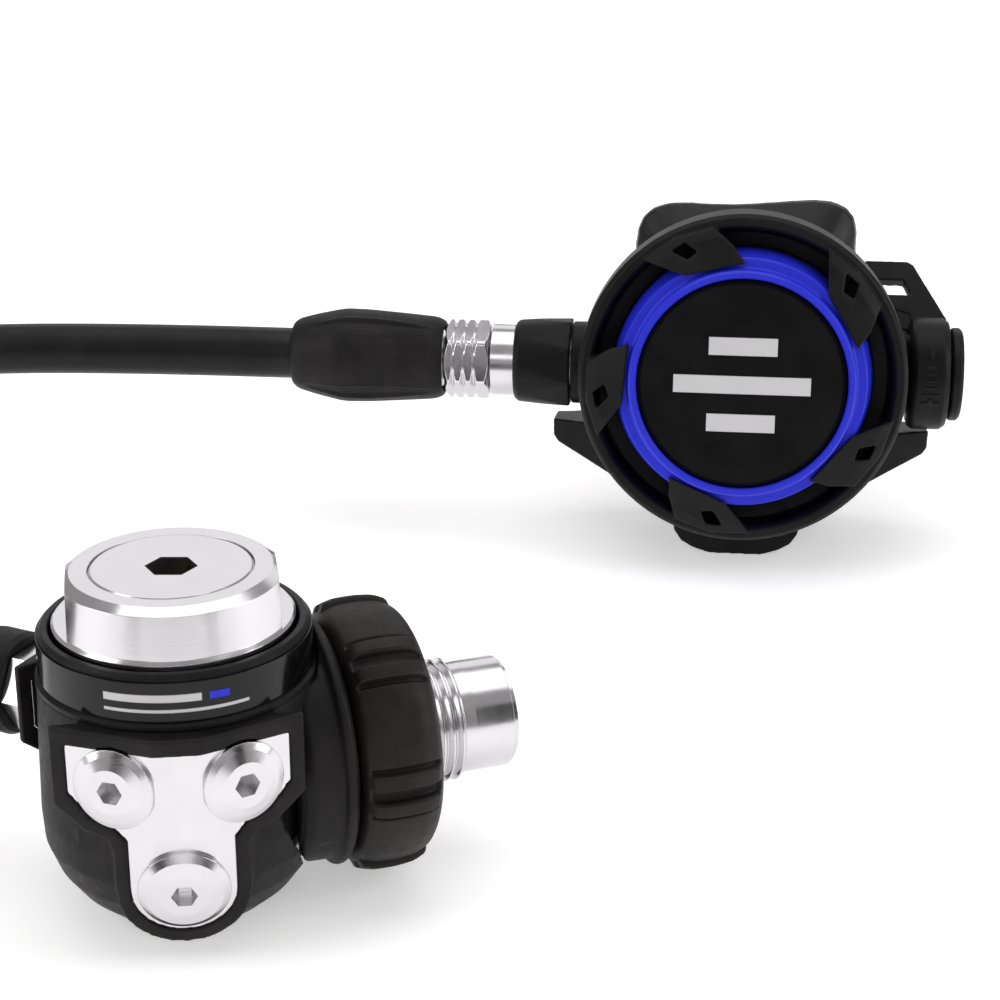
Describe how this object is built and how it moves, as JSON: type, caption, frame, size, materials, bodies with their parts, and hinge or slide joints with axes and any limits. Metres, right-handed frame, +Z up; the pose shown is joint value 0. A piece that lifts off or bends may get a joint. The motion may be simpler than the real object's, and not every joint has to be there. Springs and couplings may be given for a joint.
{
  "type": "scuba regulator set",
  "caption": "Diving regulator set: DIN first stage with handwheel and plugged ports, low-pressure hose, and second stage with purge button, flow knob, exhaust tee and mouthpiece.",
  "frame": {"origin": "middle of the first stage's flat foot, on the surface that the set stands on", "axes": "+Z up along the first stage's main axis, +X towards the second stage's flow knob, +Y from the cover face towards the mouthpiece"},
  "size_m": [0.4421, 0.2694, 0.0857],
  "materials": {
    "satin_chrome": "satin chromed brass, turned",
    "brass": "bright machined brass",
    "steel": "spring and stem steel",
    "black_rubber": "moulded black rubber, fine grain",
    "hose_rubber": "smooth black hose cover",
    "black_plastic": "moulded glass-filled nylon, fine texture",
    "gloss_black": "glossy black with a light stripe",
    "blue_plastic": "royal blue, semi-gloss",
    "disc_black": "matt black disc",
    "silver_print": "silver inlay",
    "silicone": "black silicone",
    "seal_rubber": "nitrile rubber",
    "seat_plastic": "white engineering plastic",
    "filter_metal": "sintered bronze"
  },
  "bodies": {
    "root": {"first_stage_body": "satin_chrome", "end_cap": "satin_chrome", "cap_plug": "satin_chrome", "adjusting_screw": "brass", "main_spring": "steel", "valve_seat": "seat_plastic", "high_pressure_spring": "steel", "collar": "black_plastic", "label_band": "gloss_black", "rubber_jacket": "black_rubber", "low_pressure_port_plugs": "satin_chrome", "high_pressure_port_plugs": "satin_chrome", "shoulder_cover": "black_rubber", "inlet_stem": "satin_chrome", "inlet_filter": "filter_metal", "filter_clip": "steel", "inlet_o_ring": "seal_rubber", "hose_port_fitting": "satin_chrome", "hose_port_sleeve": "black_rubber", "low_pressure_hose": "hose_rubber", "hose_protector": "black_rubber", "hose_end_fitting": "satin_chrome"},
    "first_stage_valve": {"thrust_pin": "steel", "spring_pad": "brass", "high_pressure_valve": "steel", "first_stage_diaphragm": "seal_rubber"},
    "din_wheel": {"handwheel": "black_rubber", "threaded_bushing": "satin_chrome"},
    "second_stage": {"swivel_nut": "satin_chrome", "hose_o_ring": "seal_rubber", "inlet_fitting": "satin_chrome", "inlet_collar": "black_plastic", "valve_barrel": "brass", "inlet_orifice": "brass", "balance_chamber": "seat_plastic", "second_stage_valve_spring": "steel", "case": "black_plastic", "cover_ring": "black_plastic", "accent_ring": "blue_plastic", "purge_spring": "steel", "second_stage_diaphragm": "silicone", "exhaust_valve": "silicone", "exhaust_tee": "black_plastic", "mouthpiece": "silicone", "mouthpiece_tie": "black_plastic", "barrel_end_cap": "black_plastic"},
    "purge": {"purge_button": "disc_black", "emblem": "silver_print"},
    "plate": {"diaphragm_plate": "steel"},
    "lever": {"demand_lever": "steel"},
    "demand_valve": {"second_stage_valve": "seat_plastic", "valve_seat_disc": "seal_rubber"},
    "flow_knob": {"flow_lever": "black_plastic", "flow_vane": "black_plastic"}
  },
  "joints": [
    {"name": "din_wheel_spin", "type": "hinge", "parent": "root", "child": "din_wheel", "pos_m": [0.04003, 0.01457, 0.026], "axis": [0.9397, 0.342, 0], "continuous": true},
    {"name": "first_stage_valve_open", "type": "slide", "parent": "root", "child": "first_stage_valve", "axis": [0, 0, -1], "range_m": [0, 0.0008], "stiffness_N_per_m": 2000, "springref_m": -0.002, "deforming": ["main_spring", "high_pressure_spring", "first_stage_diaphragm"]},
    {"name": "hose_swivel", "type": "hinge", "parent": "root", "child": "second_stage", "pos_m": [0.11687, 0.17656, 0.04251], "axis": [0.9945, -0.1045, 0], "continuous": true},
    {"name": "purge_press", "type": "slide", "parent": "second_stage", "child": "purge", "axis": [0.1028, 0.9782, -0.1805], "range_m": [0, 0.0016], "stiffness_N_per_m": 400, "springref_m": -0.002, "deforming": ["purge_spring", "second_stage_diaphragm"]},
    {"name": "diaphragm_travel", "type": "slide", "parent": "second_stage", "child": "plate", "axis": [0.1028, 0.9782, -0.1805], "range_m": [0, 0.0016]},
    {"name": "demand_lever_tilt", "type": "hinge", "parent": "second_stage", "child": "lever", "pos_m": [0.12634, 0.17106, 0.04333], "axis": [-0.0189, -0.1795, -0.9836], "range_deg": [0, 8.5]},
    {"name": "demand_valve_open", "type": "slide", "parent": "second_stage", "child": "demand_valve", "axis": [0.9945, -0.1045, 0], "range_m": [0, 0.00032], "deforming": ["second_stage_valve_spring"]},
    {"name": "flow_knob_turn", "type": "hinge", "parent": "second_stage", "child": "flow_knob", "pos_m": [0.16162, 0.17186, 0.04251], "axis": [-0.9945, 0.1045, 0], "range_deg": [0, 45]}
  ],
  "couplings": [
    {"joint": "diaphragm_travel", "follows": "purge_press", "ratio": 1},
    {"joint": "demand_lever_tilt", "follows": "purge_press", "rad_per_m": 87},
    {"joint": "demand_valve_open", "follows": "purge_press", "ratio": 0.19}
  ]
}
